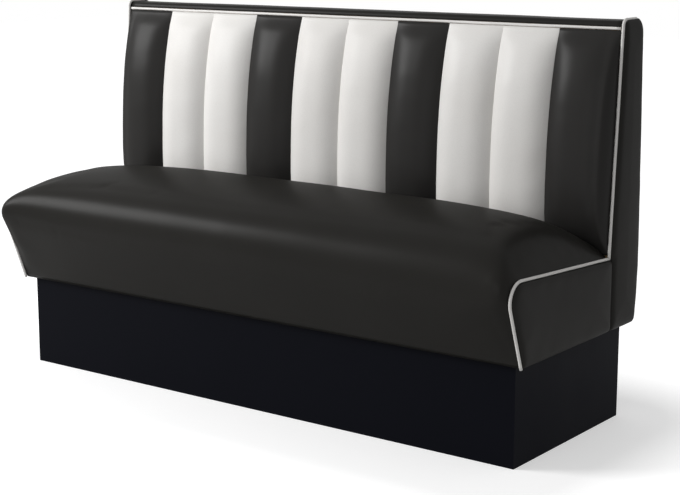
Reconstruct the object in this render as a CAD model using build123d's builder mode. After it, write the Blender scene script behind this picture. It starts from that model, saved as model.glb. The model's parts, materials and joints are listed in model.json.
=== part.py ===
from build123d import *
import os
from math import atan2, cos, degrees, radians, sin, sqrt, tan

# Restaurant booth bench for one side of a table. A laminated plinth carries two upholstered
# units that are bolted together: a seat with a crowned cushion, and a back of ten padded
# channels. X runs along the bench, Y towards its rear and Z up. The origin lies on the floor
# in the middle of the length and the depth. Profiles are drawn from the side, with their own
# zero at the front face of the plinth.

os.makedirs("parts", exist_ok=True)

# Overall sizes
overall_length = 1515.0
overall_height = 937.0

# Upholstery: vinyl with its sewn backing, piping and the room between soft pieces
soft_clearance = 0.3
skin_thickness = 4.0
piping_diameter = 7.5
piping_sides = 12
piping_outset = 0.6
end_pad_thickness = 10.0
end_pad_rounding = 9.0
foam_edge = 5.0
rear_cover_thickness = 2.0
cover_foot_gap = 2.0

# Timber of the two upholstered frames
end_board_thickness = 18.0
rail_thickness = 18.0
rib_thickness = 18.0
deck_thickness = 12.0
front_board_thickness = 6.0
rear_board_thickness = 4.0
rib_place_shares = (-0.24, 0.0, 0.24)

# Plinth
plinth_height = 229.0
plinth_rear_setback = 19.0
plinth_end_inset = 29.0
plinth_board = 18.0
cleat_size = 30.0
corner_block_size = 40.0

# Seat, seen from the side: the seam line at the end panels
seat_unit_depth = 378.0
seat_toe = 17.0
seat_corner_overhang = 88.0
seat_corner_height = 423.0
seat_nose_radius = 42.0
seat_rear_setback = 11.0
seat_rear_height = 400.0
seat_end_bow = 0.1
seat_tuck_depth = 13.0
seat_tuck_setback = 3.0

# Seat, seen from the side: the crown in the middle of the length
crown_corner_overhang = 130.0
crown_corner_height = 466.0
crown_nose_radius = 38.0
crown_rise = 20.0
crown_rear_lean = 47.0
crown_rear_height = 503.0
crown_front_belly_share = 0.15
crown_front_powers = (6.0, 36.0)
crown_rear_belly_share = 0.7
crown_rear_powers = (4.0, 20.0)
crown_station_shares = (0.35, 0.53, 0.67, 0.78, 0.86, 0.92, 0.955, 0.98, 0.993, 1.0)

# Seat frame
deck_front_height = 356.0
deck_fall = 3.0
sill_depth = 60.0
rib_slot_length = 120.0
rib_slot_height = 46.0

# Back, seen from the side
back_lean = 3.5
back_top_front_radius = 14.0
back_top_rear_radius = 28.0
back_top_depth = 88.0
back_rear_lean = 2.6
back_bend_height = 455.0
back_foot_depth = 119.0
top_piping_drop = 24.0
top_rail_height = 30.0
middle_rail_height = 80.0
middle_rail_level = 600.0

# Channels of the back: heights from the seat's rear edge to the top piping
channel_count = 10
channel_end_extra = 7.5
channel_chords = 8
shoulder_chords = 5
channel_foot_lift = 6.0
channel_projection = 29.5
channel_bulge = 22.0
channel_shoulder = 20.0
channel_round_share = 0.75

# Stations of a channel: height from its foot, how far its seams stand out, how full it is
channel_station_shares = (
    (0.0, -0.08, 0.2),
    (0.077, 0.41, 0.57),
    (0.154, 0.73, 0.86),
    (0.231, 0.86, 0.98),
    (0.308, 0.93, 1.0),
    (0.385, 0.97, 1.0),
    (0.462, 1.0, 1.0),
    (0.538, 0.99, 1.0),
    (0.615, 0.94, 1.0),
    (0.692, 0.85, 1.0),
    (0.769, 0.71, 0.97),
    (0.846, 0.52, 0.86),
    (0.923, 0.28, 0.64),
    (1.0, -0.05, 0.18),
)

# Fasteners
bolt_diameter = 8.0
hexagon_across_flats = 13.0
bolt_head_height = 5.3
bolt_tail = 4.0
bolt_height = 285.0
bolt_clearance = 0.5
bolt_place_shares = (-0.38, -0.12, 0.12, 0.38)
nut_height = 6.5
nut_clearance = 0.2
washer_diameter = 24.0
washer_thickness = 2.0
screw_diameter = 5.0
screw_head_across_flats = 8.0
screw_head_height = 3.5
screw_bite = 12.0
screw_clearance = 0.2
screw_place_shares = (-0.3, 0.3)

# Sizes that follow
piping_radius = piping_diameter / 2
piping_room = (piping_radius + soft_clearance) / sqrt(2)
skin_inset = piping_room + skin_thickness
frame_inset = skin_inset + soft_clearance
pad_inset = piping_radius + soft_clearance
rail_inset = frame_inset + foam_edge + soft_clearance
rear_inset = rear_cover_thickness + soft_clearance + rear_board_thickness
body_half = overall_length / 2 - end_pad_thickness
frame_half = body_half - end_board_thickness
plinth_half = overall_length / 2 - plinth_end_inset
back_foot_reach = seat_unit_depth + back_foot_depth
plinth_depth = back_foot_reach - plinth_rear_setback
piping_x = body_half + piping_room + piping_outset
back_line = seat_unit_depth - seat_rear_setback
back_top = overall_height - piping_radius
top_piping_height = overall_height - top_piping_drop
seat_end_slope = degrees(
    atan2(seat_rear_height - seat_corner_height, back_line + seat_corner_overhang)
)
front_lean = degrees(atan2(seat_corner_overhang - seat_toe, seat_corner_height - plinth_height))


def blend(start, end, share):
    return start + (end - start) * share


def toward(angle):
    return Vector(cos(radians(angle)), sin(radians(angle)))


def seat_line(share, inset):
    """Points of the seat's line from its front foot over the nose to the tuck behind it, at a
    share of the half length and an inset from the seam line. The crown is full in the middle
    and falls to nothing at the end panels, later along the front than along the rear."""
    front_crown = seat_crown(share, crown_front_belly_share, crown_front_powers)
    rear_crown = seat_crown(share, crown_rear_belly_share, crown_rear_powers)
    foot = Vector(-seat_toe, plinth_height)
    corner = Vector(
        -blend(seat_corner_overhang, crown_corner_overhang, front_crown),
        blend(seat_corner_height, crown_corner_height, front_crown),
    )
    rear = Vector(
        back_line - crown_rear_lean * rear_crown,
        blend(seat_rear_height, crown_rear_height, rear_crown),
    )
    tuck = Vector(seat_unit_depth - seat_tuck_setback, seat_rear_height - seat_tuck_depth)
    rise = blend(seat_end_slope + seat_end_bow, crown_rise, front_crown)
    radius = blend(seat_nose_radius, crown_nose_radius, front_crown) - inset

    down = (foot - corner).normalized()
    along = toward(rise)
    spread = radians(down.get_angle(along))
    corner += (down + along) * (inset / sin(spread))
    reach = radius / tan(spread / 2)
    middle = (down + along).normalized()
    nose_start = corner + down * reach
    nose_end = corner + along * reach
    nose_middle = corner + middle * (radius / sin(spread / 2) - radius)
    foot += Vector(inset / sin(radians(down.get_angle(Vector(1, 0)))), 0)

    chord = rear - corner
    turn = rise - degrees(atan2(chord.Y, chord.X))
    back_along = toward(rise - 2 * turn) * -1
    fall = (tuck - rear).normalized()
    rear_spread = radians(back_along.get_angle(fall))
    rear += (back_along + fall) * (inset / sin(rear_spread))
    tuck += Vector(fall.Y, -fall.X) * inset

    chord = rear - nose_end
    turn = radians(rise) - atan2(chord.Y, chord.X)
    sagitta = chord.length / 2 * tan(turn / 2)
    top_middle = (nose_end + rear) * 0.5 + Vector(-chord.Y, chord.X).normalized() * sagitta
    return foot, nose_start, nose_middle, nose_end, top_middle, rear, tuck


def seat_crown(share, belly_share, powers):
    """Crown at a share of the half length: a slow fall, and a steep one close to the ends."""
    slow, steep = (abs(share) ** power for power in powers)
    return 1 - belly_share * slow - (1 - belly_share) * steep


def draw_seat_top(line):
    foot, nose_start, nose_middle, nose_end, top_middle, rear, tuck = line
    Line(foot, nose_start)
    ThreePointArc(nose_start, nose_middle, nose_end)
    ThreePointArc(nose_end, top_middle, rear)


def draw_seat_end(inset, foot_lift, rear_gap):
    """Closed outline of the seat's end panel, drawn in by an inset from the seam line."""
    line = seat_line(1, inset)
    rear = line[5]
    back_edge = seat_unit_depth - rear_gap
    foot = Vector(front_face(plinth_height + foot_lift, inset), plinth_height + foot_lift)
    Line(foot, line[1])
    ThreePointArc(line[1], line[2], line[3])
    ThreePointArc(line[3], line[4], rear)
    Line(rear, Vector(back_edge, rear.Y))
    Line(Vector(back_edge, rear.Y), Vector(back_edge, plinth_height + foot_lift))
    Line(Vector(back_edge, plinth_height + foot_lift), foot)


def front_face(height, inset):
    """Depth of the seat's leaning front at a height."""
    lean = radians(front_lean)
    return -seat_toe - (height - plinth_height) * tan(lean) + inset / cos(lean)


def deck_top(depth):
    return deck_front_height - depth * tan(radians(deck_fall))


def deck_edge(inset, lift):
    """Where the leaning front, inset, meets the deck's upper face, lifted."""
    lean, fall = tan(radians(front_lean)), tan(radians(deck_fall))
    start = front_face(plinth_height, inset)
    depth = (start - (deck_front_height + lift - plinth_height) * lean) / (1 - lean * fall)
    return Vector(depth, deck_top(depth) + lift)


def back_face(height, inset):
    """Depth of the back's leaning front at a height."""
    lean = radians(back_lean)
    return back_line + (height - seat_rear_height) * tan(lean) + inset / cos(lean)


def back_rear(height, inset):
    """Depth of the back's rear at a height above the bend."""
    lean = radians(back_rear_lean)
    top_corner = back_face(back_top, 0) + back_top_depth
    return top_corner + (back_top - height) * tan(lean) - inset / cos(lean)


def rear_circle():
    """Centre and radius of the curved lower rear, which leaves the lean smoothly."""
    bend = Vector(back_rear(back_bend_height, 0), back_bend_height)
    chord = Vector(back_foot_reach, plinth_height) - bend
    lean = radians(back_rear_lean)
    turn = atan2(-chord.X, -chord.Y) + lean
    radius = chord.length / 2 / sin(turn)
    return bend + Vector(-cos(lean), -sin(lean)) * radius, radius


def rear_bend(inset, foot_height):
    """Bend, middle and foot of the curved lower rear, inset."""
    centre, radius = rear_circle()
    radius -= inset
    drop = foot_height - centre.Y
    bend = centre + toward(back_rear_lean) * radius
    foot = centre + Vector(sqrt(radius**2 - drop**2), drop)
    halfway = (bend + foot) * 0.5 - centre
    return bend, centre + halfway.normalized() * radius, foot


def draw_back_top(front_height, rear_height, front_inset, top_inset, behind_inset):
    """Line over the top of the back, from a height on its front to a height on its rear."""
    top = back_top - top_inset
    front_radius = back_top_front_radius - top_inset
    rear_radius = back_top_rear_radius - top_inset
    FilletPolyline(
        (back_face(front_height, front_inset), front_height),
        (back_face(top, front_inset), top),
        (back_rear(top, behind_inset), top),
        (back_rear(rear_height, behind_inset), rear_height),
        radius=[front_radius, rear_radius],
    )


def draw_back_end(inset, behind_inset, foot_lift, front_gap, step_height):
    """Closed outline of the back's end panel, with the step where it bears over the seat."""
    foot_height = plinth_height + foot_lift
    front = seat_unit_depth + front_gap
    bend, middle, foot = rear_bend(behind_inset, foot_height)
    draw_back_top(step_height, bend.Y, inset, inset, behind_inset)
    ThreePointArc(bend, middle, foot)
    Line(foot, Vector(front, foot_height))
    Line(Vector(front, foot_height), Vector(front, step_height))
    Line(Vector(front, step_height), Vector(back_face(step_height, inset), step_height))


def draw_rear_strip(outer_inset, inner_inset, top_height, foot_height):
    """Closed outline of a sheet that lies on the rear, from a top height to a foot height."""
    bend, middle, foot = rear_bend(outer_inset, foot_height)
    inner_bend, inner_middle, inner_foot = rear_bend(inner_inset, foot_height)
    top = Vector(back_rear(top_height, outer_inset), top_height)
    inner_top = Vector(back_rear(top_height, inner_inset), top_height)
    Line(top, bend)
    ThreePointArc(bend, middle, foot)
    Line(foot, inner_foot)
    ThreePointArc(inner_foot, inner_middle, inner_bend)
    Line(inner_bend, inner_top)
    Line(inner_top, top)


# The foremost point of the crown and the furthest one of the rear put the origin between them
nose_radius = crown_nose_radius - piping_room
nose_centre = seat_line(0, piping_room)[3] - toward(crown_rise + 90) * nose_radius
rear_centre, rear_radius = rear_circle()
crown_front = nose_centre.X - nose_radius
rear_reach = rear_centre.X + rear_radius
middle_depth = (crown_front + rear_reach) / 2


def side_plane(x):
    return Plane(origin=(x, -middle_depth, 0), x_dir=(0, 1, 0), z_dir=(1, 0, 0))


def level_plane(height):
    return Plane(origin=(0, -middle_depth, height), x_dir=(1, 0, 0), z_dir=(0, 0, 1))


def cross_plane(depth):
    return Plane(origin=(0, depth - middle_depth, 0), x_dir=(1, 0, 0), z_dir=(0, -1, 0))


# Plinth: four laminated boards, a rib across, blocks in the corners and cleats along the top
plinth_inner_half = plinth_half - plinth_board
plinth_inner_depth = plinth_depth - 2 * plinth_board
plinth_centre_depth = plinth_depth / 2

for name, depth in (("front", plinth_board / 2), ("rear", plinth_depth - plinth_board / 2)):
    with BuildPart() as plinth_long_board:
        with BuildSketch(level_plane(0)):
            with Locations((0, depth)):
                Rectangle(2 * plinth_half, plinth_board)
        extrude(amount=plinth_height)
    plinth_long_board.part.label = f"plinth_{name}_board"
    export_step(plinth_long_board.part, f"parts/plinth_{name}_board.step")

for name, side in (("left", -1), ("right", 1)):
    with BuildPart() as plinth_side_board:
        with BuildSketch(level_plane(0)):
            with Locations((side * (plinth_half - plinth_board / 2), plinth_centre_depth)):
                Rectangle(plinth_board, plinth_inner_depth)
        extrude(amount=plinth_height)
    plinth_side_board.part.label = f"plinth_{name}_board"
    export_step(plinth_side_board.part, f"parts/plinth_{name}_board.step")

with BuildPart() as plinth_rib:
    with BuildSketch(side_plane(0)):
        with Locations((plinth_centre_depth, plinth_height / 2)):
            Rectangle(plinth_inner_depth, plinth_height)
        for depth in (plinth_board + cleat_size / 2, plinth_depth - plinth_board - cleat_size / 2):
            with Locations((depth, plinth_height - cleat_size / 2)):
                Rectangle(cleat_size, cleat_size, mode=Mode.SUBTRACT)
    extrude(amount=rib_thickness / 2, both=True)
plinth_rib.part.label = "plinth_rib"
export_step(plinth_rib.part, "parts/plinth_rib.step")

front_screw_depth = plinth_board + cleat_size / 2
rear_screw_depth = plinth_depth - plinth_board - cleat_size / 2
screw_hole_radius = screw_diameter / 2 + screw_clearance

for name, depth in (("front", front_screw_depth), ("rear", rear_screw_depth)):
    with BuildPart() as plinth_cleat:
        with BuildSketch(level_plane(plinth_height - cleat_size)):
            with Locations((0, depth)):
                Rectangle(2 * plinth_inner_half, cleat_size)
            with Locations([(share * overall_length, depth) for share in screw_place_shares]):
                Circle(screw_hole_radius, mode=Mode.SUBTRACT)
        extrude(amount=cleat_size)
    plinth_cleat.part.label = f"plinth_{name}_cleat"
    export_step(plinth_cleat.part, f"parts/plinth_{name}_cleat.step")

block_x = plinth_inner_half - corner_block_size / 2
block_rear_depth = plinth_depth - plinth_board - corner_block_size / 2
for row, depth in (("front", plinth_board + corner_block_size / 2), ("rear", block_rear_depth)):
    for name, side in (("left", -1), ("right", 1)):
        with BuildPart() as corner_block:
            with BuildSketch(level_plane(0)):
                with Locations((side * block_x, depth)):
                    Rectangle(corner_block_size, corner_block_size)
            extrude(amount=plinth_height - cleat_size)
        corner_block.part.label = f"plinth_{row}_{name}_block"
        export_step(corner_block.part, f"parts/plinth_{row}_{name}_block.step")

with BuildPart() as plinth_screws:
    screw_places = [
        (share * overall_length, depth)
        for share in screw_place_shares
        for depth in (front_screw_depth, rear_screw_depth)
    ]
    with BuildSketch(level_plane(plinth_height - cleat_size)):
        with Locations(screw_places):
            Circle(screw_diameter / 2)
    extrude(amount=cleat_size + screw_bite)
    with BuildSketch(level_plane(plinth_height - cleat_size)):
        with Locations(screw_places):
            RegularPolygon(screw_head_across_flats / 2, side_count=6, major_radius=False)
    extrude(amount=-screw_head_height)
plinth_screws.part.label = "plinth_screws"
export_step(plinth_screws.part, "parts/plinth_screws.step")

# Seat frame: end boards, a leaning front rail, a rear rail, a sill, ribs and a sloping deck
inner_rail_inset = rail_inset + rail_thickness
rear_rail_depth = seat_unit_depth - rail_thickness
sill_front = front_face(plinth_height, inner_rail_inset)
sill_back = sill_front + sill_depth
sill_top = plinth_height + rail_thickness
bolt_places = [(share * overall_length, bolt_height) for share in bolt_place_shares]
bolt_hole_radius = bolt_diameter / 2 + bolt_clearance

for name, side in (("left", -1), ("right", 1)):
    with BuildPart() as seat_end_board:
        with BuildSketch(side_plane(side * body_half)):
            with BuildLine():
                line = seat_line(1, frame_inset)
                draw_seat_top(line)
                Polyline(
                    line[5],
                    line[6],
                    (seat_unit_depth, line[6].Y),
                    (seat_unit_depth, plinth_height),
                    line[0],
                )
            make_face()
        extrude(amount=-side * end_board_thickness)
    seat_end_board.part.label = f"seat_{name}_end_board"
    export_step(seat_end_board.part, f"parts/seat_{name}_end_board.step")

with BuildPart() as seat_front_rail:
    with BuildSketch(side_plane(0)):
        with BuildLine():
            Polyline(
                (front_face(plinth_height, rail_inset), plinth_height),
                deck_edge(rail_inset, -deck_thickness),
                deck_edge(inner_rail_inset, -deck_thickness),
                (front_face(plinth_height, inner_rail_inset), plinth_height),
                close=True,
            )
        make_face()
    extrude(amount=frame_half, both=True)
seat_front_rail.part.label = "seat_front_rail"
export_step(seat_front_rail.part, "parts/seat_front_rail.step")

with BuildPart() as seat_rear_rail:
    with BuildSketch(side_plane(0)):
        with BuildLine():
            Polyline(
                (rear_rail_depth, plinth_height),
                (seat_unit_depth, plinth_height),
                (seat_unit_depth, deck_top(seat_unit_depth) - deck_thickness),
                (rear_rail_depth, deck_top(rear_rail_depth) - deck_thickness),
                close=True,
            )
        make_face()
    extrude(amount=frame_half, both=True)
    with BuildSketch(cross_plane(rear_rail_depth)):
        with Locations(bolt_places):
            Circle(bolt_hole_radius)
    extrude(amount=-rail_thickness, mode=Mode.SUBTRACT)
seat_rear_rail.part.label = "seat_rear_rail"
export_step(seat_rear_rail.part, "parts/seat_rear_rail.step")

with BuildPart() as seat_front_sill:
    with BuildSketch(level_plane(plinth_height)):
        with Locations((0, (sill_front + sill_back) / 2)):
            Rectangle(2 * frame_half, sill_depth)
        with Locations([(share * overall_length, front_screw_depth) for share in screw_place_shares]):
            Circle(screw_hole_radius, mode=Mode.SUBTRACT)
    extrude(amount=rail_thickness)
seat_front_sill.part.label = "seat_front_sill"
export_step(seat_front_sill.part, "parts/seat_front_sill.step")

for number, share in enumerate(rib_place_shares, start=1):
    with BuildPart() as seat_rib:
        with BuildSketch(side_plane(share * overall_length)):
            with BuildLine():
                Polyline(
                    (sill_back, plinth_height),
                    (rear_rail_depth, plinth_height),
                    (rear_rail_depth, deck_top(rear_rail_depth) - deck_thickness),
                    deck_edge(inner_rail_inset, -deck_thickness),
                    (front_face(sill_top, inner_rail_inset), sill_top),
                    (sill_back, sill_top),
                    close=True,
                )
            make_face()
            slot_depth = (sill_back + rear_rail_depth) / 2
            slot_height = (plinth_height + deck_top(slot_depth) - deck_thickness) / 2
            with Locations((slot_depth, slot_height)):
                SlotOverall(rib_slot_length, rib_slot_height, mode=Mode.SUBTRACT)
        extrude(amount=rib_thickness / 2, both=True)
    seat_rib.part.label = f"seat_rib_{number}"
    export_step(seat_rib.part, f"parts/seat_rib_{number}.step")

with BuildPart() as seat_deck:
    with BuildSketch(side_plane(0)):
        with BuildLine():
            Polyline(
                deck_edge(rail_inset, 0),
                (seat_unit_depth, deck_top(seat_unit_depth)),
                (seat_unit_depth, deck_top(seat_unit_depth) - deck_thickness),
                deck_edge(rail_inset, -deck_thickness),
                close=True,
            )
        make_face()
    extrude(amount=frame_half, both=True)
seat_deck.part.label = "seat_deck"
export_step(seat_deck.part, "parts/seat_deck.step")


# Seat upholstery: foam and cover are lofted through sections whose crown falls at the ends
station_shares = [-share for share in reversed(crown_station_shares)] + [0, *crown_station_shares]
foam_half = frame_half - soft_clearance

with BuildPart() as seat_foam:
    for share in station_shares:
        with BuildSketch(side_plane(share * body_half)):
            line = seat_line(share, frame_inset)
            rail_face = rail_inset - soft_clearance
            deck_rear = Vector(line[6].X, deck_top(line[6].X) + soft_clearance)
            deck_front = deck_edge(rail_face, soft_clearance)
            rail_foot = Vector(front_face(plinth_height, rail_face), plinth_height)
            with BuildLine():
                draw_seat_top(line)
                Polyline(line[5], line[6], deck_rear, deck_front, rail_foot, line[0])
            make_face()
    loft(ruled=True)
    split(bisect_by=side_plane(foam_half), keep=Keep.BOTTOM)
    split(bisect_by=side_plane(-foam_half), keep=Keep.TOP)
seat_foam.part.label = "seat_foam"
export_step(seat_foam.part, "parts/seat_foam.step")

with BuildPart() as seat_cover:
    for share in station_shares:
        with BuildSketch(side_plane(share * body_half)):
            outer = seat_line(share, piping_room)
            inner = seat_line(share, skin_inset)
            with BuildLine():
                draw_seat_top(outer)
                Polyline(outer[5], outer[6], inner[6], inner[5])
                draw_seat_top(inner)
                Line(inner[0], outer[0])
            make_face()
    loft(ruled=True)
seat_cover.part.label = "seat_cover"
export_step(seat_cover.part, "parts/seat_cover.step")

# Quarter round of a padded end: how far out it stands, and how far it is drawn in there
pad_round_shares = [(sin(radians(angle)), 1 - cos(radians(angle))) for angle in (0, 30, 60, 90)]
piping_tail_height = plinth_height - piping_radius
joint_gap = soft_clearance / 2

for name, side in (("left", -1), ("right", 1)):
    with BuildPart() as seat_end_cover:
        for out_share, drawn_share in pad_round_shares:
            drawn = drawn_share * end_pad_rounding
            with BuildSketch(side_plane(side * (body_half + out_share * end_pad_thickness))):
                with BuildLine():
                    draw_seat_end(pad_inset + drawn, cover_foot_gap + drawn, joint_gap + drawn)
                make_face()
        loft(ruled=True)
    seat_end_cover.part.label = f"seat_{name}_end_cover"
    export_step(seat_end_cover.part, f"parts/seat_{name}_end_cover.step")

    with BuildPart() as seat_piping:
        with BuildLine(side_plane(side * piping_x)) as seat_route:
            FilletPolyline(
                (front_face(piping_tail_height, 0), piping_tail_height),
                (-seat_corner_overhang, seat_corner_height),
                (back_line - pad_inset, seat_rear_height),
                radius=[seat_nose_radius],
            )
        with BuildSketch(Plane(origin=seat_route.wire() @ 0, z_dir=seat_route.wire() % 0)):
            RegularPolygon(piping_radius, side_count=piping_sides)
        sweep()
    seat_piping.part.label = f"seat_{name}_piping"
    export_step(seat_piping.part, f"parts/seat_{name}_piping.step")

# Back frame: end boards, rails behind a front board, stiles that stand on a sill, a rear board
board_step = seat_rear_height - frame_inset + 2 * soft_clearance
rear_rail_inset = skin_thickness + soft_clearance
top_rail_foot = back_top - frame_inset - top_rail_height
lower_rail_rear = seat_unit_depth + rail_thickness
rail_layer = frame_inset + front_board_thickness
stile_inset = rail_layer + rail_thickness
rear_seam_height = back_top - back_top_rear_radius - rear_cover_thickness

for name, side in (("left", -1), ("right", 1)):
    with BuildPart() as back_end_board:
        with BuildSketch(side_plane(side * body_half)):
            with BuildLine():
                draw_back_end(frame_inset, rear_inset, 0, 0, board_step)
            make_face()
        extrude(amount=-side * end_board_thickness)
    back_end_board.part.label = f"back_{name}_end_board"
    export_step(back_end_board.part, f"parts/back_{name}_end_board.step")

with BuildPart() as back_lower_rail:
    with BuildSketch(side_plane(0)):
        with Locations((seat_unit_depth + rail_thickness / 2, (plinth_height + board_step) / 2)):
            Rectangle(rail_thickness, board_step - plinth_height)
    extrude(amount=frame_half, both=True)
    with BuildSketch(cross_plane(seat_unit_depth)):
        with Locations(bolt_places):
            Circle(bolt_hole_radius)
    extrude(amount=-rail_thickness, mode=Mode.SUBTRACT)
back_lower_rail.part.label = "back_lower_rail"
export_step(back_lower_rail.part, "parts/back_lower_rail.step")

sill_rear = rear_bend(rear_inset, plinth_height)[2].X
with BuildPart() as back_sill:
    with BuildSketch(level_plane(plinth_height)):
        with Locations((0, (lower_rail_rear + sill_rear) / 2)):
            Rectangle(2 * frame_half, sill_rear - lower_rail_rear)
        with Locations([(share * overall_length, rear_screw_depth) for share in screw_place_shares]):
            Circle(screw_hole_radius, mode=Mode.SUBTRACT)
    extrude(amount=rail_thickness)
back_sill.part.label = "back_sill"
export_step(back_sill.part, "parts/back_sill.step")


def draw_leaning_board(foot_height, top_height, inset, thickness):
    """Closed outline of a board that follows the lean of the back's front."""
    Polyline(
        (back_face(foot_height, inset), foot_height),
        (back_face(top_height, inset), top_height),
        (back_face(top_height, inset + thickness), top_height),
        (back_face(foot_height, inset + thickness), foot_height),
        close=True,
    )


with BuildPart() as back_front_board:
    with BuildSketch(side_plane(0)):
        with BuildLine():
            draw_leaning_board(board_step, top_rail_foot, frame_inset, front_board_thickness)
        make_face()
    extrude(amount=frame_half, both=True)
back_front_board.part.label = "back_front_board"
export_step(back_front_board.part, "parts/back_front_board.step")

with BuildPart() as back_middle_rail:
    with BuildSketch(side_plane(0)):
        with BuildLine():
            rail_top = middle_rail_level + middle_rail_height
            draw_leaning_board(middle_rail_level, rail_top, rail_layer, rail_thickness)
        make_face()
    extrude(amount=frame_half, both=True)
back_middle_rail.part.label = "back_middle_rail"
export_step(back_middle_rail.part, "parts/back_middle_rail.step")

with BuildPart() as back_top_rail:
    with BuildSketch(side_plane(0)):
        with BuildLine():
            draw_back_top(top_rail_foot, top_rail_foot, frame_inset, frame_inset, rear_rail_inset)
            Line(
                (back_rear(top_rail_foot, rear_rail_inset), top_rail_foot),
                (back_face(top_rail_foot, frame_inset), top_rail_foot),
            )
        make_face()
    extrude(amount=frame_half, both=True)
back_top_rail.part.label = "back_top_rail"
export_step(back_top_rail.part, "parts/back_top_rail.step")

for number, share in enumerate(rib_place_shares, start=1):
    with BuildPart() as back_stile:
        with BuildSketch(side_plane(share * overall_length)):
            with BuildLine():
                bend, middle, foot = rear_bend(rear_inset, sill_top)
                ThreePointArc(bend, middle, foot)
                Polyline(
                    foot,
                    (lower_rail_rear, sill_top),
                    (lower_rail_rear, board_step),
                    (back_face(board_step, stile_inset), board_step),
                    (back_face(top_rail_foot, stile_inset), top_rail_foot),
                    (back_rear(top_rail_foot, rear_inset), top_rail_foot),
                    bend,
                )
            make_face()
        extrude(amount=rib_thickness / 2, both=True)
    back_stile.part.label = f"back_stile_{number}"
    export_step(back_stile.part, f"parts/back_stile_{number}.step")

rear_foot_height = plinth_height + cover_foot_gap
with BuildPart() as back_rear_board:
    with BuildSketch(side_plane(0)):
        with BuildLine():
            board_face = rear_cover_thickness + soft_clearance
            draw_rear_strip(board_face, rear_inset, top_rail_foot, rear_foot_height)
        make_face()
    extrude(amount=body_half, both=True)
back_rear_board.part.label = "back_rear_board"
export_step(back_rear_board.part, "parts/back_rear_board.step")

# Back upholstery
with BuildPart() as back_rear_cover:
    with BuildSketch(side_plane(0)):
        with BuildLine():
            cover_top = rear_seam_height - soft_clearance
            draw_rear_strip(0, rear_cover_thickness, cover_top, rear_foot_height)
        make_face()
    extrude(amount=body_half, both=True)
back_rear_cover.part.label = "back_rear_cover"
export_step(back_rear_cover.part, "parts/back_rear_cover.step")


def chords(curve, count):
    """Points that part a curve into straight chords, which keep a loft of it light."""
    return [curve @ (step / count) for step in range(count + 1)]


def draw_channel(centre, side, height, seam, bulge):
    """Closed outline of a channel at a height. One at an end, which side tells, turns straight
    back over a round shoulder and runs to the seam line of the end panel."""
    half = channel_pitch / 2 - joint_gap
    board = back_face(height, frame_inset - soft_clearance)
    if not side:
        front = ThreePointArc(
            (centre - half, seam), (centre, seam - bulge), (centre + half, seam), mode=Mode.PRIVATE
        )
        Polyline(*chords(front, channel_chords), (centre + half, board), (centre - half, board), close=True)
        return
    radius = (half**2 + bulge**2) / (2 * bulge)
    offset = half - channel_shoulder
    shoulder = seam - bulge + radius - sqrt(radius**2 - offset**2)
    end_seam = back_face(height, piping_room)
    inner, outer = centre - side * half, side * (piping_x - pad_inset)
    turn = Vector(side * sqrt(radius**2 - offset**2), offset)
    width = abs(outer - centre) - offset
    round_drop = width * sqrt(radius**2 - offset**2) / (radius - offset)
    round_end = shoulder + min(round_drop, (end_seam - shoulder) * channel_round_share)
    front = ThreePointArc(
        (inner, seam), (centre, seam - bulge), (centre + side * offset, shoulder), mode=Mode.PRIVATE
    )
    round_front = TangentArc(
        (centre + side * offset, shoulder), (outer, round_end), tangent=turn, mode=Mode.PRIVATE
    )
    points = chords(front, channel_chords) + chords(round_front, shoulder_chords)[1:]
    Polyline(*points, (outer, end_seam), (outer, board), (inner, board), close=True)


# Each channel is lofted up its height, through the stations of the table
channel_foot = seat_rear_height + channel_foot_lift
channel_height = top_piping_height - pad_inset - channel_foot
channel_pitch = 2 * (body_half - channel_end_extra) / channel_count

for number in range(1, channel_count + 1):
    centre = (number - (channel_count + 1) / 2) * channel_pitch
    side = {1: -1, channel_count: 1}.get(number, 0)
    with BuildPart() as back_channel:
        for height_share, seam_share, bulge_share in channel_station_shares:
            height = channel_foot + height_share * channel_height
            seam = back_face(height, 0) - seam_share * channel_projection
            with BuildSketch(level_plane(height)):
                with BuildLine():
                    draw_channel(centre, side, height, seam, bulge_share * channel_bulge)
                make_face()
        loft(ruled=True)
    back_channel.part.label = f"back_channel_{number:02d}"
    export_step(back_channel.part, f"parts/back_channel_{number:02d}.step")

with BuildPart() as back_top_band:
    with BuildSketch(side_plane(0)):
        band_foot = top_piping_height + pad_inset
        with BuildLine():
            draw_back_top(band_foot, rear_seam_height, piping_room, piping_room, 0)
            draw_back_top(band_foot, rear_seam_height, skin_inset, skin_inset, skin_thickness)
            Line(
                (back_face(band_foot, piping_room), band_foot),
                (back_face(band_foot, skin_inset), band_foot),
            )
            Line(
                (back_rear(rear_seam_height, 0), rear_seam_height),
                (back_rear(rear_seam_height, skin_thickness), rear_seam_height),
            )
        make_face()
    extrude(amount=body_half, both=True)
back_top_band.part.label = "back_top_band"
export_step(back_top_band.part, "parts/back_top_band.step")

with BuildPart() as back_top_piping:
    with BuildSketch(side_plane(0)):
        with Locations((back_face(top_piping_height, frame_inset - pad_inset), top_piping_height)):
            RegularPolygon(piping_radius, side_count=piping_sides)
    extrude(amount=body_half - piping_radius, both=True)
back_top_piping.part.label = "back_top_piping"
export_step(back_top_piping.part, "parts/back_top_piping.step")

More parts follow.
